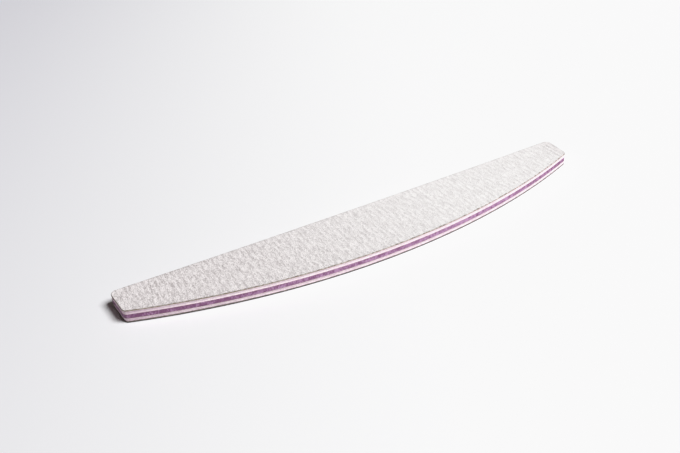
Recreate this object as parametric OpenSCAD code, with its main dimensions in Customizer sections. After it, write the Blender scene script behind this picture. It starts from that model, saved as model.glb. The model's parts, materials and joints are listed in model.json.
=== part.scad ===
// Emery board, half-moon pattern: eleven layers laminated in a sheet, then cut out by one die.
// The back edge lies along +Y, the bowed filing edge along -Y, and the board rests on z = 0.

/* [Outline] */
// Length between the two back corners, measured before they are rounded
board_len = 178; // [120:1:220]
// Depth from the line of the back corners to the crown of the bow
board_w = 28; // [22:0.5:40]
// Depth of each blunt end, from its back corner to its front corner
end_w = 11.9; // [9:0.1:16]
// How far each end cut leans inwards from the back corner to the front corner
end_rake = 1.1; // [0:0.1:4]
// How far the back edge is hollowed at mid length
back_hollow = 0.8; // [0.2:0.1:3]
// Rounding of the two corners on the back edge
back_corner_r = 2.1; // [1:0.1:3.5]
// Rounding of the two corners on the bowed edge
front_corner_r = 2; // [1:0.1:3.5]

/* [Layers] */
// Thickness of the stiff plastic core
core_t = 1.6; // [0.8:0.1:3]
// Thickness of the adhesive between the core and each foam
core_adhesive_t = 0.05; // [0.03:0.01:0.2]
// Thickness of each foam cushion
foam_t = 1.1; // [0.6:0.05:3]
// Thickness of the adhesive between each foam and its paper
paper_adhesive_t = 0.05; // [0.03:0.01:0.2]
// Thickness of each abrasive sheet's backing paper
paper_t = 0.22; // [0.12:0.01:0.5]
// Thickness of each resin, grit and stearate coat, up to the grain tips
coat_t = 0.23; // [0.15:0.01:0.6]

/* [Cut edge] */
// How deep the cut edge of each foam is dished
foam_dish = 0.14; // [0.04:0.01:0.4]
// Width of the square land left above and below the dish
foam_land = 0.1; // [0.05:0.01:0.2]
// How far the rim of each coat is rolled back from the cut
rim_setback = 0.24; // [0.06:0.01:0.6]
// How far the rim of each coat is rolled down at the cut
rim_drop = 0.12; // [0.03:0.01:0.14]

/* [Colours] */
// Stearate wash over the grit
coat_colour = "#DDD8D5"; // [#DDD8D5:Zebra grey, #F1EEE9:White, #5A5654:Black]
// Backing paper
paper_colour = "#A8987F"; // [#A8987F:Kraft, #EDE8DE:White]
// Foam cushions
foam_colour = "#EFDDE8"; // [#EFDDE8:Pale pink, #F4F3F0:White, #4E4E50:Grey]
// Plastic core
core_colour = "#A0699B"; // [#A0699B:Purple, #D8587E:Pink, #4E7FB5:Blue]
// Adhesive
adhesive_colour = "#E4DACB"; // [#E4DACB:Amber, #F2F1EE:Clear]

/* [Hidden] */

// Steps in half of the bowed edge, half of the back edge and each rounded corner
bow_steps = 28;
back_steps = 8;
corner_steps = 8;
// Steps across the dish of a foam and across the rolled rim of a coat
dish_steps = 4;
rim_steps = 3;

// The laminate is a stack, so each level follows from the thicknesses under it
z_lower_paper = coat_t;
z_lower_paper_adhesive = z_lower_paper + paper_t;
z_lower_foam = z_lower_paper_adhesive + paper_adhesive_t;
z_lower_core_adhesive = z_lower_foam + foam_t;
z_core = z_lower_core_adhesive + core_adhesive_t;
z_upper_core_adhesive = z_core + core_t;
z_upper_foam = z_upper_core_adhesive + core_adhesive_t;
z_upper_paper_adhesive = z_upper_foam + foam_t;
z_upper_paper = z_upper_paper_adhesive + paper_adhesive_t;
z_upper_coat = z_upper_paper + paper_t;

// Right-hand corners before rounding, with the direction and outward normal of the end cut
back_corner = [board_len / 2, board_w / 2];
front_corner = back_corner - [end_rake, end_w];
end_dir = (front_corner - back_corner) / norm(front_corner - back_corner);
end_normal = [-end_dir.y, end_dir.x];

// The bow passes through both front corners and touches the front of the bounding box
bow_r = arc_radius(front_corner.x, board_w - end_w);
bow_centre = [0, bow_r - board_w / 2];

// The hollow passes through both back corners and curves the same way as the bow
hollow_r = arc_radius(back_corner.x, back_hollow);
hollow_centre = [0, board_w / 2 - back_hollow + hollow_r];

// Centres of the rounded corners, each tangent to the end cut and to the bow or the hollow
front_round = round_centre(bow_centre, bow_r - front_corner_r, front_corner_r);
back_round = round_centre(hollow_centre, hollow_r + back_corner_r, back_corner_r);

// Directions, seen from the corners' centres, in which the outline passes from arc to arc
bow_end = bearing(front_round - bow_centre);
end_face = bearing(end_normal);
hollow_end = bearing(back_round - hollow_centre);

// Angle of vector v above the x axis
function bearing(v) = atan2(v.y, v.x);

// Radius of the arc that rises by rise over half of its chord
function arc_radius(half_chord, rise) = (half_chord ^ 2 + rise ^ 2) / (2 * rise);

// Centre of a corner of radius r that touches the end cut, at distance reach from centre
function round_centre(centre, reach, r) =
    let (start = back_corner - r * end_normal - centre,
         along = start * end_dir)
    centre + start + (sqrt(along ^ 2 - start * start + reach ^ 2) - along) * end_dir;

// Points from angle a to angle b, without the first where skip is 1
function arc(centre, r, a, b, steps, skip = 0) = [
    for (i = [skip:steps]) let (angle = a + (b - a) * i / steps)
        centre + r * [cos(angle), sin(angle)]
];

// Right half of the outline, from the crown of the bow round to the middle of the back edge.
// Every arc keeps its centre under an inset, so the inset outlines stay parallel.
function right_half(inset) = concat(
    arc(bow_centre, bow_r - inset, -90, bow_end, bow_steps),
    arc(front_round, front_corner_r - inset, bow_end, end_face, corner_steps, 1),
    arc(back_round, back_corner_r - inset, end_face, hollow_end + 180, corner_steps),
    arc(hollow_centre, hollow_r + inset, hollow_end, -90, back_steps, 1)
);

// Whole outline, set in from the cut edge by inset
function outline(inset = 0) =
    let (right = right_half(inset))
    concat(right, [for (i = [len(right) - 2:-1:1]) [-right[i].x, right[i].y]]);

// Layer with a square-cut edge
module layer(z, t) {
    translate([0, 0, z]) linear_extrude(t) polygon(outline());
}

// Ring that sweeps a closed section of [inset, z] points once round the outline.
// The section runs clockwise as it is seen with the outside of the board on the right.
module swept_ring(section) {
    rings = [for (s = section) [for (p = outline(s[0])) [p.x, p.y, s[1]]]];
    n = len(rings[0]);
    m = len(section);
    faces = [
        for (k = [0:m - 1], i = [0:n - 1])
            let (j = (i + 1) % n, this = k * n, next = (k + 1) % m * n)
            each [[this + i, this + j, next + i], [this + j, next + j, next + i]]
    ];
    polyhedron([for (ring = rings) each ring], faces);
}

// Resin, grit and stearate on a paper at z = 0. The die rolls the rim over as it goes in.
module abrasive_coat() {
    roll = [
        for (k = [-1:rim_steps]) let (s = k / rim_steps)
            [s * rim_setback, coat_t - rim_drop * (1 - s) ^ 2]
    ];
    above = coat_t + rim_drop;
    color(coat_colour) difference() {
        layer(0, coat_t);
        swept_ring(concat(roll, [[rim_setback, above], [roll[0].x, above]]));
    }
}

module upper_abrasive_coat() {
    translate([0, 0, z_upper_coat]) abrasive_coat();
}

module lower_abrasive_coat() {
    translate([0, 0, z_lower_paper]) mirror([0, 0, 1]) abrasive_coat();
}

// Kraft backing paper of an abrasive sheet
module backing_paper(z) {
    color(paper_colour) layer(z, paper_t);
}

// Adhesive that holds a paper to its foam
module paper_adhesive(z) {
    color(adhesive_colour) layer(z, paper_adhesive_t);
}

// Adhesive that holds a foam to the core
module core_adhesive(z) {
    color(adhesive_colour) layer(z, core_adhesive_t);
}

// Closed-cell foam cushion. The die squeezes it while it cuts, so its edge springs back dished.
module foam(z) {
    half_dish = foam_t / 2 - foam_land;
    dish = [
        for (k = [-1:dish_steps + 1]) let (s = 2 * k / dish_steps - 1)
            [foam_dish * (1 - s ^ 2), z + foam_t / 2 + s * half_dish]
    ];
    color(foam_colour) difference() {
        layer(z, foam_t);
        swept_ring(dish);
    }
}

// Stiff plastic core, which gives the board its spring
module core_plate() {
    color(core_colour) layer(z_core, core_t);
}

lower_abrasive_coat();
backing_paper(z_lower_paper);  // lower_backing_paper
paper_adhesive(z_lower_paper_adhesive);  // lower_paper_adhesive
foam(z_lower_foam);  // lower_foam
core_adhesive(z_lower_core_adhesive);  // lower_core_adhesive
core_plate();
core_adhesive(z_upper_core_adhesive);  // upper_core_adhesive
foam(z_upper_foam);  // upper_foam
paper_adhesive(z_upper_paper_adhesive);  // upper_paper_adhesive
backing_paper(z_upper_paper);  // upper_backing_paper
upper_abrasive_coat();
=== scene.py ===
"""Looks of a half-moon emery board: abrasive paper and foam on both faces of a plastic core."""

import json
import math

import bpy
import numpy as np
from mathutils import Matrix, Vector

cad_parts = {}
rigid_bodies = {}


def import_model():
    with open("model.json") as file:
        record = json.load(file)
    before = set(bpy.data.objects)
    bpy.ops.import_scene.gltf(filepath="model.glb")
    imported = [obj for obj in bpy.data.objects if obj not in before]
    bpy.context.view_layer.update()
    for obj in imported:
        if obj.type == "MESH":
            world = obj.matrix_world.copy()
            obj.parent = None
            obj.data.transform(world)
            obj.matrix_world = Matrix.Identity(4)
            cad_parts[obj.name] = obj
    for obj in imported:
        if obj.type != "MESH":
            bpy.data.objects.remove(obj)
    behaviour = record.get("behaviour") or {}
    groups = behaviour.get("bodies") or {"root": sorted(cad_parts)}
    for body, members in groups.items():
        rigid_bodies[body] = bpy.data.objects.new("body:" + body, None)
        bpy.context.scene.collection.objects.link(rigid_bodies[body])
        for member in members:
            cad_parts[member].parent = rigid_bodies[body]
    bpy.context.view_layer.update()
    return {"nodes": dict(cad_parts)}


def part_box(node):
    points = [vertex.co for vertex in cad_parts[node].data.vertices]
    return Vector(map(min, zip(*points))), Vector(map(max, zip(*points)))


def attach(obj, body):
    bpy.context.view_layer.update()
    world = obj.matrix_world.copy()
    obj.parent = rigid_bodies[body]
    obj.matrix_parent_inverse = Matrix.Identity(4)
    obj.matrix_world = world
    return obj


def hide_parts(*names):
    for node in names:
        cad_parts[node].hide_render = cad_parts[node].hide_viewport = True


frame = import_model()

MM = 0.001
# In radians
WHOLE_TURN = 6.28

# Outline, as the board is cut
BOARD_LEN = 178 * MM
BOARD_W = 28 * MM
END_W = 11.9 * MM
END_RAKE = 1.1 * MM
BACK_HOLLOW = 0.8 * MM
BACK_CORNER_R = 2.1 * MM
FRONT_CORNER_R = 2 * MM

# Profile of the cut edge: the dish of a foam and the square land above and below it, the rolled rim
# of a coat, and the broken corners of the core
FOAM_DISH = 0.14 * MM
FOAM_LAND = 0.1 * MM
RIM_SETBACK = 0.24 * MM
RIM_DROP = 0.12 * MM
CORE_BREAK = 0.05 * MM

# Steps of the arcs before they are evened: in a corner, in half the bow and in half the hollow
CORNER_ARC, BOW_ARC, HOLLOW_ARC = 200, 900, 600
# Steps in each long edge and each end, for the cut edges and for the coats
CUT_STEPS = (1500, 100)
COAT_STEPS = (820, 100)
# Steps up the cut edge of each layer, and rings in the rolled rim of a coat
FOAM_ROWS, CORE_ROWS, PAPER_ROWS, RIM_RINGS = 14, 16, 4, 5
# Rounds of smoothing that even out the grid of a face near the corners
GRID_ROUNDS = 40

# Values of the face attribute down a coat: at the top and the foot of its rim, and below it
RIM_TOP_FACE, RIM_FOOT_FACE, WALL_FACE = 0.85, 0.25, 0.1

# Coat: relief of the wash, and the grains that stand in it, with how far their tips rise above it
WASH_RELIEF = 0.05 * MM
GRAIN_TIPS = 0.06 * MM
GRAIN_SIZE = 0.14 * MM
GRAINS_PER_MM2 = 6.0

# How deep the cut edges are chipped, frayed, pitted by open cells, wavy and scored
RIM_CHIPS = 0.08 * MM
PAPER_FRAY = 0.05 * MM
CELL_DEPTH = 0.09 * MM
FOAM_WAVE = 0.05 * MM
CORE_SCORE = 0.035 * MM

# Open cells of a foam, and loose fibres of a paper
CELL_SIZE = 0.32 * MM
FIBRE_LENGTH = 0.45 * MM
FIBRE_THICKNESS = 0.028 * MM
FIBRES_PER_MM2 = 14.0

# Strokes of the wash: radians of their wave in each mm, which sets them 2 mm apart, and radians
# that it drifts
STROKE_WAVE, STROKE_DRIFT = 3.2, 7.0
# How far along a face the strokes slide for each mm of its height
FACE_SLIDE = 9.0

# Where painted light and painted shade change along the board, in mm from its middle
WASH_LIGHT_RISES, WASH_LIGHT_FALLS = (-85.0, 50.0), (79.0, 92.0)
PAPER_LIGHT_RISES = (-90.0, 40.0)
FOAM_LEFT_SHADE, FOOT_SHADE_LOWERS = (-90.0, -64.0), (-70.0, -30.0)
CORE_LIGHT_RISES, CORE_LIGHT_RISES_MORE, CORE_LIGHT_FALLS = (-90.0, -30.0), (-20.0, 20.0), (42.0, 88.0)
# Where painted shade darkens the wash across the board, in mm from the middle: on its rim, and on
# its face along the back edge, as measured at mid length
RIM_BACK_SHADE, FACE_BACK_SHADE = (0.0, 9.0), (12.3, 13.0)
# How far the back edge curves towards +Y, in mm for each square mm of x
HOLLOW_BEND = BACK_HOLLOW * MM / (BOARD_LEN / 2) ** 2
# Heights in mm between which the painted shade at the foot of the lower foam ends
FOOT_SHADE_TOP = (0.72, 0.98)


# Outline

def arc_radius(half_chord, rise):
    """Radius of the arc that rises by rise over half of its chord."""
    return (half_chord**2 + rise**2) / (2 * rise)


def bearing(v):
    """Angle of a vector above the x axis."""
    return math.atan2(v[1], v[0])


BACK_CORNER = np.array([BOARD_LEN / 2, BOARD_W / 2])
FRONT_CORNER = BACK_CORNER - [END_RAKE, END_W]
END_DIR = (FRONT_CORNER - BACK_CORNER) / np.linalg.norm(FRONT_CORNER - BACK_CORNER)
END_NORMAL = np.array([-END_DIR[1], END_DIR[0]])
BOW_R = arc_radius(FRONT_CORNER[0], BOARD_W - END_W)
BOW_CENTRE = np.array([0, BOW_R - BOARD_W / 2])
HOLLOW_R = arc_radius(BACK_CORNER[0], BACK_HOLLOW)
HOLLOW_CENTRE = np.array([0, BOARD_W / 2 - BACK_HOLLOW + HOLLOW_R])


def round_centre(centre, reach, r):
    """Centre of a corner of radius r that touches the end cut, at distance reach from centre."""
    start = BACK_CORNER - r * END_NORMAL - centre
    along = start @ END_DIR
    return centre + start + (math.sqrt(along**2 - start @ start + reach**2) - along) * END_DIR


FRONT_ROUND = round_centre(BOW_CENTRE, BOW_R - FRONT_CORNER_R, FRONT_CORNER_R)
BACK_ROUND = round_centre(HOLLOW_CENTRE, HOLLOW_R + BACK_CORNER_R, BACK_CORNER_R)
BOW_END = bearing(FRONT_ROUND - BOW_CENTRE)
END_FACE = bearing(END_NORMAL)
HOLLOW_END = bearing(BACK_ROUND - HOLLOW_CENTRE)


def arc(centre, r, a, b, steps=CORNER_ARC):
    """Points from angle a to angle b."""
    t = np.linspace(a, b, steps + 1)
    return centre + r * np.stack([np.cos(t), np.sin(t)], 1)


def evened(points, steps):
    """The same line in even steps, without its last point."""
    run = np.concatenate([[0], np.cumsum(np.linalg.norm(np.diff(points, axis=0), axis=1))])
    at = np.linspace(0, run[-1], steps + 1)[:-1]
    return np.stack([np.interp(at, run, points[:, k]) for k in (0, 1)], 1)


def other_half(points):
    """A line of the right half of the board, on the left half, running the other way."""
    return points[::-1] * [-1, 1]


def sides(inset, steps):
    """The outline set in by inset, as seen from above: the bow, the right end, the back edge and
    the left end. Each starts and stops in the middle of a rounded corner."""
    front_mid = (BOW_END + END_FACE) / 2
    back_mid = (END_FACE + HOLLOW_END + math.pi) / 2
    front_r, back_r = FRONT_CORNER_R - inset, BACK_CORNER_R - inset
    bow = np.concatenate([
        arc(BOW_CENTRE, BOW_R - inset, -math.pi / 2, BOW_END, BOW_ARC),
        arc(FRONT_ROUND, front_r, BOW_END, front_mid),
    ])
    end = np.concatenate([
        arc(FRONT_ROUND, front_r, front_mid, END_FACE),
        arc(BACK_ROUND, back_r, END_FACE, back_mid),
    ])
    back = np.concatenate([
        arc(BACK_ROUND, back_r, back_mid, HOLLOW_END + math.pi),
        arc(HOLLOW_CENTRE, HOLLOW_R + inset, HOLLOW_END, -math.pi / 2, HOLLOW_ARC),
    ])
    long_steps, end_steps = steps
    return [
        evened(np.concatenate([other_half(bow), bow]), long_steps),
        evened(end, end_steps),
        evened(np.concatenate([back, other_half(back)]), long_steps),
        evened(other_half(end), end_steps),
    ]


# Meshes

def lifted(points, z):
    """Flat points, at height z."""
    return np.column_stack([points, np.full(len(points), z)])


def edge_wall(section, steps):
    """Rings round the board through a section of (inset, height) points that runs up the cut edge,
    and the faces between them."""
    rings = [lifted(np.concatenate(sides(inset, steps)), z) for inset, z in section]
    n = len(rings[0])
    low = np.arange(n * (len(rings) - 1))
    beside = low - low % n + (low % n + 1) % n
    return np.concatenate(rings), np.stack([low, beside, beside + n, low + n], 1).tolist()


def mesh_piece(name, points, faces, **values):
    """A piece with its place in its mesh. values are attributes, with one number for each point."""
    mesh = bpy.data.meshes.new(name)
    mesh.from_pydata(points.tolist(), [], faces)
    for key, value in values.items():
        layer = mesh.attributes.new(key, "FLOAT", "POINT")
        layer.data.foreach_set("value", np.asarray(value, np.float32))
    piece = bpy.data.objects.new(name, mesh)
    bpy.context.scene.collection.objects.link(piece)
    return piece


def cut_layer(name, section):
    """A closed layer whose cut edge follows a section. Its flat faces are fans, which other layers
    cover. The cut attribute is 1 on the edge and 0 in the middle of the flat faces."""
    points, faces = edge_wall(section, CUT_STEPS)
    n = len(points) // len(section)
    under, over = len(points), len(points) + 1
    last = len(points) - n
    for i in range(n):
        j = (i + 1) % n
        faces += [(under, j, i), (over, last + i, last + j)]
    middle = [[0, 0, section[0][1]], [0, 0, section[-1][1]]]
    cut = [1.0] * len(points) + [0, 0]
    return mesh_piece(name, np.concatenate([points, middle]), faces, cut=cut)


def face_grid(ring):
    """Points that fill a ring of four sides, in rows along the board from the bow to the back
    edge."""
    bow, right, back, left = ring
    bow = np.concatenate([bow, right[:1]])
    back = np.concatenate([back, left[:1]])[::-1]
    right = np.concatenate([right, back[-1:]])
    left = np.concatenate([left, bow[:1]])[::-1]
    u = np.linspace(0, 1, len(bow))[None, :, None]
    v = np.linspace(0, 1, len(left))[:, None, None]
    across = (1 - v) * bow[None] + v * back[None]
    along = (1 - u) * left[:, None] + u * right[:, None]
    bow_line, back_line = ((1 - u) * edge[0] + u * edge[-1] for edge in (bow, back))
    grid = across + along - ((1 - v) * bow_line + v * back_line)
    for _ in range(GRID_ROUNDS):
        near = grid[:-2, 1:-1] + grid[2:, 1:-1] + grid[1:-1, :-2] + grid[1:-1, 2:]
        grid[1:-1, 1:-1] = near / 4
    return grid


def coat_layer(name, back_z, face_z):
    """A closed coat from the paper at back_z to its face at face_z, with its rim rolled towards the
    paper. The face attribute is 1 on the face and 0 at the paper, and runs down over the rim."""
    up = 1 if face_z > back_z else -1
    roll = [
        (s * RIM_SETBACK, face_z - up * RIM_DROP * (1 - s) ** 2,
         RIM_FOOT_FACE + (RIM_TOP_FACE - RIM_FOOT_FACE) * s)
        for s in np.linspace(0, 1, RIM_RINGS)
    ]
    section = [(0, back_z, 0), (0, (back_z + roll[0][1]) / 2, WALL_FACE), *roll]
    points, faces = edge_wall([row[:2] for row in section], COAT_STEPS)
    n = len(points) // len(section)
    face = np.repeat([row[2] for row in section], n)
    grid = face_grid(sides(RIM_SETBACK, COAT_STEPS))
    rows, columns = grid.shape[:2]
    inner = np.arange((rows - 2) * (columns - 2)).reshape(rows - 2, columns - 2) + len(points)
    # The border of the grid is the last ring of the rim
    ids = np.zeros((rows, columns), int)
    rim = np.arange(len(points) - n, len(points))
    a, b = columns - 1, rows - 1
    ids[0, :] = rim[:columns]
    ids[:, -1] = rim[a:a + rows]
    ids[-1, ::-1] = rim[a + b:a + b + columns]
    ids[1:, 0] = rim[2 * a + b:][::-1]
    ids[1:-1, 1:-1] = inner
    quads = np.stack([ids[:-1, :-1], ids[:-1, 1:], ids[1:, 1:], ids[1:, :-1]], -1).reshape(-1, 4)
    faces += quads.tolist()
    filling = lifted(grid[1:-1, 1:-1].reshape(-1, 2), face_z)
    points = np.concatenate([points, filling, [[0, 0, back_z]]])
    faces += [(len(points) - 1, (i + 1) % n, i) for i in range(n)]
    if up < 0:
        faces = [f[::-1] for f in faces]
    face = np.concatenate([face, np.ones(inner.size), [0]])
    return mesh_piece(name, points, faces, face=face)


# Node trees

class Wire:
    """A socket that can be used in an expression, which adds its Math nodes."""

    def __init__(self, tree, socket):
        self.tree, self.socket = tree, socket

    def __add__(self, other):
        return self.tree.maths("ADD", self, other)

    def __sub__(self, other):
        return self.tree.maths("SUBTRACT", self, other)

    def __rsub__(self, other):
        return self.tree.maths("SUBTRACT", other, self)

    def __mul__(self, other):
        return self.tree.maths("MULTIPLY", self, other)

    def __truediv__(self, other):
        return self.tree.maths("DIVIDE", self, other)

    def __rtruediv__(self, other):
        return self.tree.maths("DIVIDE", other, self)

    def __neg__(self):
        return self.tree.maths("MULTIPLY", self, -1.0)

    def __gt__(self, other):
        return self.tree.maths("GREATER_THAN", self, other)

    __radd__ = __add__
    __rmul__ = __mul__


class Tree:
    """A node tree, whose nodes all come from add."""

    def __init__(self, tree):
        self.nodes, self.links = tree.nodes, tree.links

    def add(self, kind, settings=None, values=None, out=0):
        """Adds a node with its settings, then the values or wires of its sockets, and returns one
        of its outputs."""
        node = self.nodes.new(kind)
        for key, value in (settings or {}).items():
            setattr(node, key, value)
        for key, value in (values or {}).items():
            self.feed(node.inputs[key], value)
        return Wire(self, node.outputs[out])

    def feed(self, socket, value):
        """Gives a socket a wire or a value of its own."""
        if isinstance(value, Wire):
            self.links.new(value.socket, socket)
        else:
            socket.default_value = value

    def maths(self, operation, *terms):
        return self.add("ShaderNodeMath", {"operation": operation}, dict(enumerate(terms)))

    def vector_maths(self, operation, *terms):
        return self.add("ShaderNodeVectorMath", {"operation": operation}, dict(enumerate(terms)))

    def scaled(self, vector, by):
        """A vector with each part times the same part of by."""
        return self.vector_maths("MULTIPLY", vector, by)

    def in_mm(self, place):
        """A place in metres, in millimetres."""
        return self.scaled(place, (1 / MM,) * 3)

    def parts(self, vector):
        """The x, y and z of a vector."""
        node = self.add("ShaderNodeSeparateXYZ", None, {0: vector}).socket.node
        return [Wire(self, socket) for socket in node.outputs]

    def vector(self, x=0.0, y=0.0, z=0.0):
        return self.add("ShaderNodeCombineXYZ", None, {0: x, 1: y, 2: z})

    def noise(self, place, scale, detail=2.0, roughness=0.5, dimensions="3D"):
        return self.add("ShaderNodeTexNoise", {"noise_dimensions": dimensions}, {
            "Vector": place, "Scale": scale, "Detail": detail, "Roughness": roughness,
        })

    def cells(self, place, scale):
        """Distance to the middle of the nearest of some scattered cells."""
        return self.add("ShaderNodeTexVoronoi", None, {"Vector": place, "Scale": scale})

    def mix(self, share, a, b):
        """Colour a where share is 0, and colour b where it is 1."""
        return self.add("ShaderNodeMix", {"data_type": "RGBA"}, {0: share, 6: a, 7: b}, 2)

    def ramp(self, value, low, high):
        """0 below low and 1 above high, and smooth between."""
        return self.add("ShaderNodeMapRange", {"interpolation_type": "SMOOTHSTEP"}, {
            "Value": value, "From Min": low, "From Max": high,
        })

    def on_face(self, place):
        """Distances along and across a coat. Its height slides them, so the two faces differ."""
        x, y, z = self.parts(place)
        return x + z * FACE_SLIDE, y

    def strokes(self, place):
        """Fine strokes across the board, from 0 to 1, as the wash dries on an abrasive."""
        x, y = self.on_face(place)
        along = x + self.noise(place, 0.4, 1.0) * 0.9
        broad = self.noise(self.vector(along, y * 0.2), 1.3, 0.0, dimensions="2D")
        fine = self.noise(self.vector(along + 40.0, y * 0.3), 2.6, 1.0, dimensions="2D")
        # They keep a loose distance of 2 mm from each other
        drift = self.noise(self.vector(x * 0.6, y * 0.55), 1.0, 1.0, dimensions="2D")
        ripple = self.maths("SINE", along * STROKE_WAVE + drift * STROKE_DRIFT)
        return broad * 0.4 + fine * 0.45 + ripple * 0.07 + 0.075


class Finish(Tree):
    """A material, with its patterns in millimetres on the board."""

    def __init__(self, name, **constants):
        self.material = bpy.data.materials.new(name)
        self.material.use_nodes = True
        super().__init__(self.material.node_tree)
        self.shader = next(node for node in self.nodes if node.type == "BSDF_PRINCIPLED")
        for key, value in constants.items():
            self.set(key.replace("_", " "), value)
        self.place = self.in_mm(self.add("ShaderNodeTexCoord", out="Object"))

    def set(self, socket, value):
        self.feed(self.shader.inputs[socket], value)

    def bump(self, height, depth, under=None):
        """Bump from a height of 0 to 1 that stands for depth, on top of another bump."""
        values = {"Height": height, "Distance": depth}
        if under:
            values["Normal"] = under
        return self.add("ShaderNodeBump", None, values)

    def attribute(self, name):
        return self.add("ShaderNodeAttribute", {"attribute_name": name}, out="Fac")


def rgb(code):
    """A screen colour as linear light."""
    parts = [int(code[i:i + 2], 16) / 255 for i in (1, 3, 5)]
    return (*(p / 12.92 if p <= 0.04045 else ((p + 0.055) / 1.055) ** 2.4 for p in parts), 1)


# Finishes

def coat_finish(name, resin, kept, gloss):
    """Stearate wash, dried in pale strokes over darker grit. The rim shows the bare resin, except
    where some of the wash has stayed on it. kept is the largest share that has."""
    f = Finish(name, Roughness=0.8, Specular_IOR_Level=gloss)
    x, y, z = f.parts(f.place)
    strokes = f.strokes(f.place)
    speckle = f.noise(f.vector(*f.on_face(f.place)), 3.4, 2.0, 0.6, "2D")
    # Painted shade: the face is darker along the hollowed back edge
    back_shade = f.ramp(y - x * x * HOLLOW_BEND, *FACE_BACK_SHADE)
    tone = f.ramp(strokes * 0.45 + speckle * 0.55 - back_shade * 0.05, 0.38, 0.57)
    # Painted light: the wash is paler towards the right end, and darker again at the very end
    wash_painted_light = f.ramp(x, *WASH_LIGHT_RISES) - f.ramp(x, *WASH_LIGHT_FALLS) * 0.5
    # thin and thick are the shaded and the lit colours of that painted light
    thin = f.mix(tone, rgb("#B6AEAE"), rgb("#F4EEEE"))
    thick = f.mix(tone, rgb("#DFDBDA"), rgb("#FCFAF9"))
    wash = f.mix(wash_painted_light, thin, thick)
    pits = f.ramp(f.noise(f.vector(x, y, z + 7.0), 2.8, 1.0), 0.62, 0.68)
    pitted = f.mix(pits * (0.9 - wash_painted_light * 0.6), wash, rgb("#857D7A"))
    cut = 1 - f.attribute("face")
    # Wash stays on the rim in patches. Painted light keeps more of it where the face is painted
    # paler, and painted shade keeps less of it towards the back edge
    worn = f.ramp(f.noise(f.place, 1.1, 2.0), 0.3, 0.6)
    kept_wash_light_and_shade = worn * (0.65 + wash_painted_light * 0.35 - f.ramp(y, *RIM_BACK_SHADE) * 0.5)
    bare = f.ramp(cut, 0.05, 0.7) * (1 - kept * kept_wash_light_and_shade)
    f.set("Base Color", f.mix(bare, pitted, rgb(resin)))
    f.set("Normal", f.bump(speckle, 0.07 * MM, f.bump(strokes, 0.06 * MM)))
    return f.material


def grain_finish():
    """Grit grains, most of them coated by the wash, and some bare and dark or glassy."""
    f = Finish("grit")
    tone = f.attribute("tone")
    coated = f.mix(f.ramp(tone, 0.0, 0.55), rgb("#D6D1CE"), rgb("#F4F1EF"))
    f.set("Base Color", f.mix(f.ramp(tone, 0.78, 0.8), coated, rgb("#6F6864")))
    f.set("Roughness", 0.85 - f.ramp(tone, 0.7, 0.95) * 0.6)
    return f.material


def paper_finish(name, soaked, dry, torn, gloss):
    """Raw cut edge of kraft paper: fibre ends, some soaked with resin, some dry, some torn."""
    f = Finish(name, Roughness=0.95, Specular_IOR_Level=gloss)
    x, y, z = f.parts(f.place)
    fibres = f.noise(f.vector(x, y, z * 8.0), 2.0, 4.0, 0.65)
    # Torn fibres in patches, whose share grows towards the right end as painted light
    torn_share_and_light = f.ramp(f.noise(f.place, 1.1, 2.0), 0.45, 0.7) * (0.3 + f.ramp(x, *PAPER_LIGHT_RISES) * 0.55)
    brown = f.mix(f.ramp(fibres, 0.35, 0.65), rgb(soaked), rgb(dry))
    f.set("Base Color", f.mix(torn_share_and_light, brown, rgb(torn)))
    f.set("Normal", f.bump(fibres, 0.05 * MM))
    return f.material


def foam_finish():
    """Cut closed-cell foam, with painted shade inside its open cells, towards the left end, and in
    a dark band at the foot of the lower foam, above the lower paper."""
    f = Finish("pink_foam", Roughness=0.9)
    x, _, z = f.parts(f.place)
    cloud = f.noise(f.place, 0.8, 3.0)
    pale = f.mix(f.ramp(cloud, 0.35, 0.65), rgb("#F3E1E8"), rgb("#FBEDF2"))
    # Painted shade: the colour is deeper inside the open cells, by their depth
    open_cells = f.mix(f.attribute("pit") * 0.8, pale, rgb("#DDBCCF"))
    # Painted shade towards the left end, where the edge turns away from the light
    left_shade = 1 - f.ramp(x, *FOAM_LEFT_SHADE)
    left_shaded = f.mix(left_shade * 0.5, open_cells, rgb("#D2B2C6"))
    # Painted shade: smeared is a dark band at the foot of the lower foam, reaching higher to the
    # left
    smeared = 1 - f.ramp(z + cloud * 0.2 + f.ramp(x, *FOOT_SHADE_LOWERS) * 0.12, *FOOT_SHADE_TOP)
    f.set("Base Color", f.mix(smeared * 0.85, left_shaded, rgb("#51463F")))
    f.set("Normal", f.bump(f.noise(f.place, 6.0, 2.0), 0.05 * MM))
    return f.material


def core_finish():
    """Purple plastic, with dark blotches and pale scuffs where the die sheared it."""
    f = Finish("purple_plastic")
    x, y, z = f.parts(f.place)
    shear = f.noise(f.vector(x, y, z * 0.35), 3.0, 3.0, 0.6)
    blotch = f.noise(f.place, 0.75, 3.0, 0.6)
    # Painted light: paler to the right of the middle, and darker again towards the end
    core_painted_light = (f.ramp(x, *CORE_LIGHT_RISES) * 0.075 + f.ramp(x, *CORE_LIGHT_RISES_MORE) * 0.03
             - f.ramp(x, *CORE_LIGHT_FALLS) * 0.075)
    tone = f.ramp(shear * 0.45 + blotch * 0.55 + core_painted_light, 0.47, 0.69)
    body = f.mix(tone, rgb("#804E75"), rgb("#BD93B9"))
    scuff = f.ramp(f.noise(f.place, 2.1, 4.0, 0.7), 0.6, 0.75)
    f.set("Base Color", f.mix(scuff * 0.6, body, rgb("#D0B0CE")))
    f.set("Roughness", 0.45 + shear * 0.3)
    f.set("Normal", f.bump(shear, 0.05 * MM))
    return f.material


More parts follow.
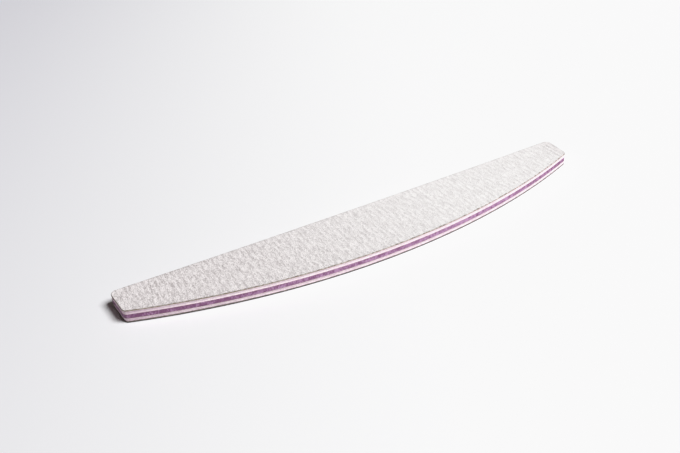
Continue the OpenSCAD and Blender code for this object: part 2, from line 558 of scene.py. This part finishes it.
def adhesive_finish():
    """Clear amber adhesive, smeared by the cut."""
    f = Finish("clear_adhesive", Roughness=0.3)
    smear = f.noise(f.place, 1.6, 2.0)
    f.set("Base Color", f.mix(f.ramp(smear, 0.4, 0.6), rgb("#D6C6B6"), rgb("#EADFD4")))
    f.set("Roughness", 0.25 + smear * 0.4)
    return f.material


# Geometry recipes

class Recipe(Tree):
    """A Geometry Nodes tree with named inputs for its sizes."""

    def __init__(self, name, **sizes):
        self.group = bpy.data.node_groups.new(name, "GeometryNodeTree")
        super().__init__(self.group)
        self.ids = {}
        self.socket("Geometry", "Geometry")
        for label, value in sizes.items():
            kind = "Int" if isinstance(value, int) else "Float"
            self.socket(label, kind).default_value = value
        self.socket("Finish", "Material")
        self.socket("Geometry", "Geometry", "OUTPUT")
        self.inputs = self.nodes.new("NodeGroupInput").outputs
        self.outputs = self.nodes.new("NodeGroupOutput").inputs
        self.place = self.in_mm(self.add("GeometryNodeInputPosition"))
        self.normal = self.add("GeometryNodeInputNormal")

    def socket(self, label, kind, in_out="INPUT"):
        made = self.group.interface.new_socket(
            label, in_out=in_out, socket_type="NodeSocket" + kind)
        if in_out == "INPUT":
            self.ids[label] = made.identifier
        return made

    def size(self, label):
        return Wire(self, self.inputs[label])

    def attribute(self, name):
        return self.add("GeometryNodeInputNamedAttribute", None, {"Name": name})

    def stored(self, geometry, name, value):
        return self.add("GeometryNodeStoreNamedAttribute", None, {
            "Geometry": geometry, "Name": name, "Value": value,
        })

    def moved(self, geometry, offset):
        return self.add("GeometryNodeSetPosition", None, {"Geometry": geometry, "Offset": offset})

    def outwards(self, distance):
        """An offset out of the cut edge, level with the board."""
        direction = self.vector_maths("NORMALIZE", self.scaled(self.normal, (1, 1, 0)))
        return self.scaled(direction, self.vector(distance, distance))

    def random(self, low, high, key):
        """A number between low and high for each point. key keeps draws apart."""
        return self.add("FunctionNodeRandomValue", None, {
            2: low, 3: high, "Seed": self.size("Seed") + key,
        }, 1)

    def end(self, geometry):
        """Gives the result its finish, as one mesh."""
        realised = self.add("GeometryNodeRealizeInstances", None, {0: geometry})
        done = self.add("GeometryNodeSetMaterial", None, {
            "Geometry": realised, "Material": self.size("Finish"),
        })
        self.feed(self.outputs[0], done)
        return self

    def make(self, name, source, finish, **sizes):
        """A plain mesh piece that this recipe makes from a source piece."""
        modifier = source.modifiers.new("recipe", "NODES")
        modifier.node_group = self.group
        for label, value in {**sizes, "Finish": finish}.items():
            modifier[self.ids[label]] = value
        evaluated = source.evaluated_get(bpy.context.evaluated_depsgraph_get())
        mesh = bpy.data.meshes.new_from_object(evaluated)
        source.modifiers.remove(modifier)
        piece = bpy.data.objects.new(name, mesh)
        mesh.name = name
        bpy.context.scene.collection.objects.link(piece)
        return piece


def wash_recipe():
    """Sinks the face of a coat below its grain tips, and more between the strokes of its wash, and
    chips its rim."""
    r = Recipe("dry_wash", Relief=WASH_RELIEF, Tips=GRAIN_TIPS, Chips=RIM_CHIPS, Up=1.0)
    face = r.attribute("face")
    hollow = 1 - r.ramp(r.strokes(r.place), 0.3, 0.7)
    pitting = r.noise(r.place, 3.0, 2.0)
    sunk = ((hollow * 0.7 + pitting * 0.6) * r.size("Relief") + r.size("Tips")) * face
    chip = r.ramp(r.noise(r.place, 1.6, 3.0, 0.7), 0.42, 0.75) * (1 - face) * r.size("Chips")
    offset = r.vector_maths("ADD", r.vector(z=-(sunk * r.size("Up"))), r.outwards(-chip))
    return r.end(r.moved(r.size("Geometry"), offset))


def grit_recipe():
    """Angular grains on the face of a coat, closer together along the strokes of its wash."""
    r = Recipe("strew_grit", Grain=GRAIN_SIZE, Density=GRAINS_PER_MM2 / MM**2, Seed=1)
    thick = r.ramp(r.strokes(r.place), 0.35, 0.62)
    points = r.add("GeometryNodeDistributePointsOnFaces", {"distribute_method": "RANDOM"}, {
        "Mesh": r.size("Geometry"), "Selection": r.attribute("face") > 0.9,
        "Density": (0.35 + thick * 0.65) * r.size("Density"), "Seed": r.size("Seed"),
    })
    grain = r.add("GeometryNodeMeshUVSphere", None, {
        "Segments": 4, "Rings": 2, "Radius": r.size("Grain") * 0.5,
    })
    turn = r.vector(r.random(0.0, 1.0, 1), r.random(0.0, 1.0, 2), r.random(0.0, WHOLE_TURN, 3))
    shape = r.vector(r.random(0.6, 1.4, 4), r.random(0.6, 1.2, 5), r.random(0.5, 1.0, 6))
    strewn = r.add("GeometryNodeInstanceOnPoints", None, {
        "Points": points, "Instance": grain, "Rotation": turn, "Scale": shape,
    })
    toned = r.add("GeometryNodeStoreNamedAttribute", {"domain": "INSTANCE"}, {
        "Geometry": strewn, "Name": "tone", "Value": r.random(0.0, 1.0, 7),
    })
    return r.end(toned)


def paper_recipe():
    """Frays the cut edge of a paper."""
    r = Recipe("fray_paper", Depth=PAPER_FRAY)
    x, y, z = r.parts(r.place)
    fray = r.noise(r.vector(x, y, z * 4.0), 2.2, 3.0, 0.65)
    push = (fray - 0.55) * 2.0 * r.size("Depth") * r.attribute("cut")
    return r.end(r.moved(r.size("Geometry"), r.outwards(push)))


def fibre_recipe():
    """Loose fibres that stand out of the cut edge of a paper."""
    r = Recipe("pull_fibres", Length=FIBRE_LENGTH, Thickness=FIBRE_THICKNESS,
               Density=FIBRES_PER_MM2 / MM**2, Seed=1)
    # The mean of the attribute over a face is 1 on the cut edge alone
    cut = r.add("GeometryNodeFieldOnDomain", {"domain": "FACE"}, {0: r.attribute("cut")})
    points = r.add("GeometryNodeDistributePointsOnFaces", {"distribute_method": "RANDOM"}, {
        "Mesh": r.size("Geometry"), "Selection": cut > 0.9,
        "Density": r.size("Density"), "Seed": r.size("Seed"),
    })
    facing = Wire(r, points.socket.node.outputs["Rotation"])
    length = r.size("Length")
    spine = r.add("GeometryNodeCurveQuadraticBezier", None, {
        "Resolution": 4, "Start": r.vector(length * -0.5), "Middle": r.vector(z=length * 0.45),
        "End": r.vector(length * 0.5, length * 0.2),
    })
    section = r.add("GeometryNodeCurvePrimitiveCircle", None, {
        "Resolution": 3, "Radius": r.size("Thickness") * 0.5,
    })
    fibre = r.add("GeometryNodeCurveToMesh", None, {
        "Curve": spine, "Profile Curve": section, "Fill Caps": True,
    })
    twist = r.vector(r.random(-0.5, 0.5, 1), r.random(-0.5, 0.5, 2), r.random(-0.6, 0.6, 3))
    turn = r.add("FunctionNodeRotateRotation", {"rotation_space": "LOCAL"}, {0: facing, 1: twist})
    grown = r.random(0.3, 1.0, 4)
    pulled = r.add("GeometryNodeInstanceOnPoints", None, {
        "Points": points, "Instance": fibre, "Rotation": turn,
        "Scale": r.vector(grown, grown, grown),
    })
    return r.end(pulled)


def foam_recipe():
    """Opens the cells along the cut edge of a foam, and keeps their depth as the pit attribute."""
    r = Recipe("open_cells", Cell=CELL_SIZE, Depth=CELL_DEPTH, Wave=FOAM_WAVE)
    near = r.cells(r.place, MM / r.size("Cell"))
    pit = 1 - r.ramp(near, 0.12, 0.52)
    wave = r.noise(r.place, 0.9, 2.0) - 0.5
    cut = r.attribute("cut")
    push = (wave * 2.0 * r.size("Wave") - pit * r.size("Depth")) * cut
    kept = r.stored(r.size("Geometry"), "pit", pit * cut)
    return r.end(r.moved(kept, r.outwards(push)))


def core_recipe():
    """Scores the sheared edge of the core."""
    r = Recipe("shear_core", Depth=CORE_SCORE)
    x, y, z = r.parts(r.place)
    score = r.noise(r.vector(x, y, z * 0.35), 3.0, 3.0, 0.6)
    push = (score - 0.55) * 2.0 * r.size("Depth") * r.attribute("cut")
    return r.end(r.moved(r.size("Geometry"), r.outwards(push)))


# Pieces

# Seeds of what is strewn on each side
GRIT_SEEDS = {"lower": 2, "upper": 1}
FIBRE_SEEDS = {"lower": 4, "upper": 3}


def levels(node):
    """Lowest and highest z of a CAD node."""
    low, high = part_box(node)
    return low[2], high[2]


def seated(piece, slot, *nodes):
    """A finished piece, which rides on the one body and stands for its CAD node, if it has one."""
    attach(piece, "root")
    if nodes:
        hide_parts(*nodes)
    return piece


def discard(piece):
    """Takes away a blank that recipes have been used on."""
    bpy.data.objects.remove(piece)


def make_coat(side, finish, grit):
    node = f"{side}_abrasive_coat"
    low, high = levels(node)
    back_z, face_z = (low, high) if side == "upper" else (high, low)
    up = 1.0 if side == "upper" else -1.0
    blank = coat_layer(f"{side}_blank", back_z, face_z)
    coat = wash_recipe().make(f"{side}_wash", blank, finish, Up=up)
    discard(blank)
    seated(coat, "abrasive_coat", node)
    grains = grit_recipe().make(f"{side}_grit", coat, grit, Seed=GRIT_SEEDS[side])
    seated(grains, "abrasive_coat")


def make_paper(side, finish):
    node = f"{side}_backing_paper"
    low, high = levels(node)
    blank = cut_layer(f"{side}_blank", [(0, z) for z in np.linspace(low, high, PAPER_ROWS + 1)])
    paper = paper_recipe().make(f"{side}_paper", blank, finish)
    fibres = fibre_recipe().make(f"{side}_paper_fibres", blank, finish, Seed=FIBRE_SEEDS[side])
    discard(blank)
    seated(paper, "backing_paper", node)
    seated(fibres, "backing_paper")


def make_foam(side, finish):
    node = f"{side}_foam"
    low, high = levels(node)
    middle, half = (low + high) / 2, (high - low) / 2
    section = []
    for t in np.linspace(-1, 1, FOAM_ROWS + 1):
        s = min(1, abs(t) * half / (half - FOAM_LAND))
        section.append((FOAM_DISH * (1 - s**2), middle + t * half))
    blank = cut_layer(f"{side}_blank", section)
    cushion = foam_recipe().make(f"{side}_cushion", blank, finish)
    discard(blank)
    seated(cushion, "foam", node)


def make_core(finish):
    low, high = levels("core_plate")
    rows = np.linspace(low + CORE_BREAK, high - CORE_BREAK, CORE_ROWS + 1)
    section = [(CORE_BREAK, low), *((0, z) for z in rows), (CORE_BREAK, high)]
    blank = cut_layer("core_blank", section)
    seated(core_recipe().make("core", blank, finish), "core", "core_plate")
    discard(blank)


def finish_adhesives(finish):
    for side in ("lower", "upper"):
        for joint in ("paper", "core"):
            node = frame["nodes"][f"{side}_{joint}_adhesive"]
            node.data.materials.clear()
            node.data.materials.append(finish)


# Stage

# Camera: its place, its angles in degrees, its lens in mm, and how near it sees
CAMERA_AT = (-113.487 * MM, -197.958 * MM, 152.698 * MM)
CAMERA_AZIMUTH, CAMERA_ELEVATION, CAMERA_ROLL = -26.857, 32.913, -4.083
CAMERA_LENS, CAMERA_CLIP = 41.885, 10 * MM

# Floor: its radius in metres, and the sides of its rim
FLOOR_R, FLOOR_SIDES = 1.2, 96
# Where painted light turns it paler along the board, in mm, and how far that leans for each mm
# across it
FLOOR_PALES, FLOOR_LEAN = (-300.0, 40.0), 0.48

# Key light: its direction from the board, its distance and size in metres, and its power in watts
KEY_TOWARDS = (0.45, -0.41, 0.8)
KEY_DISTANCE, KEY_SIZE, KEY_POWER = 8.0, 3.88, 822.0

# Light of the room's ceiling and of its walls, and the sine of the elevation that the walls reach
DIM, WALL, WALL_TOP = 0.04, 0.9, 0.09

# Brightness at which highlights start to roll off, and the most that they reach
SHOULDER, BRIGHTEST = 0.945, 0.958


def turned(degrees, axis):
    return Matrix.Rotation(math.radians(degrees), 4, axis)


def set_camera():
    data = bpy.data.cameras.new("camera")
    data.lens = CAMERA_LENS
    data.clip_start = CAMERA_CLIP
    camera = bpy.data.objects.new("camera", data)
    camera.matrix_world = (
        Matrix.Translation(CAMERA_AT) @ turned(CAMERA_AZIMUTH, "Z")
        @ turned(90 - CAMERA_ELEVATION, "X") @ turned(CAMERA_ROLL, "Z")
    )
    bpy.context.scene.collection.objects.link(camera)
    bpy.context.scene.camera = camera


def set_floor():
    """A round sheet of pale card, with painted shade that makes it greyer on the side away from the
    light.
    """
    rim = arc(np.zeros(2), FLOOR_R, 0, 2 * math.pi, FLOOR_SIDES)[:-1]
    floor = mesh_piece("floor", lifted(rim, 0), [tuple(range(FLOOR_SIDES))])
    f = Finish("card", Roughness=1.0, Specular_IOR_Level=0.0)
    x, y, _ = f.parts(f.place)
    lit = f.ramp(x - y * FLOOR_LEAN, *FLOOR_PALES)
    f.set("Base Color", f.mix(lit, rgb("#D6D5DB"), rgb("#F8F8F8")))
    floor.data.materials.append(f.material)


def set_key_light():
    """A round softbox that faces the board."""
    data = bpy.data.lights.new("key", "AREA")
    data.shape = "DISK"
    data.size = KEY_SIZE
    data.energy = KEY_POWER
    data.color = rgb("#FDFEFF")[:3]
    light = bpy.data.objects.new("key", data)
    spot = Vector(KEY_TOWARDS).normalized() * KEY_DISTANCE
    facing = spot.to_track_quat("Z", "Y").to_matrix().to_4x4()
    light.matrix_world = Matrix.Translation(spot) @ facing
    light.visible_camera = False
    bpy.context.scene.collection.objects.link(light)


def set_room():
    """The light of a dim room with pale walls."""
    world = bpy.data.worlds.new("studio")
    world.use_nodes = True
    tree = Tree(world.node_tree)
    _, _, height = tree.parts(tree.add("ShaderNodeTexCoord", out="Generated"))
    wall = 1 - tree.ramp(height, WALL_TOP * 0.5, WALL_TOP)
    background = tree.nodes["Background"].inputs
    tree.feed(background["Color"], tree.mix(wall, rgb("#FFE6D0"), rgb("#F6F7FA")))
    tree.feed(background["Strength"], DIM + wall * (WALL - DIM))
    bpy.context.scene.world = world


def set_film():
    """Plain colours, with highlights that roll off just below white."""
    view = bpy.context.scene.view_settings
    view.view_transform = "Standard"
    view.use_curve_mapping = True
    # The curve that all three colours share
    curve = view.curve_mapping.curves[3]
    curve.points[1].location = (1.0, BRIGHTEST)
    curve.points.new(SHOULDER, SHOULDER)
    for point in curve.points:
        point.handle_type = "VECTOR"
    view.curve_mapping.extend = "HORIZONTAL"
    view.curve_mapping.update()


set_camera()
set_floor()
set_key_light()
set_room()
set_film()

grit, foam = grain_finish(), foam_finish()
sheets = {
    # The lower sheets are darker copies of the upper ones, bare of wash on the rim and less glossy:
    # painted shade for the lower edge, which lies in its contact shadow
    "lower": (coat_finish("wash_painted_shade", "#231D18", kept=0.0, gloss=0.1),
              paper_finish("kraft_painted_shade", "#1F1A16", "#3D352E", "#5A4F45", gloss=0.1)),
    "upper": (coat_finish("wash", "#62574C", kept=0.95, gloss=0.5),
              paper_finish("kraft", "#6B5C49", "#B09C83", "#D6C9B6", gloss=0.5)),
}
for side, (coat, paper) in sheets.items():
    make_coat(side, coat, grit)
    make_paper(side, paper)
    make_foam(side, foam)
make_core(core_finish())
finish_adhesives(adhesive_finish())
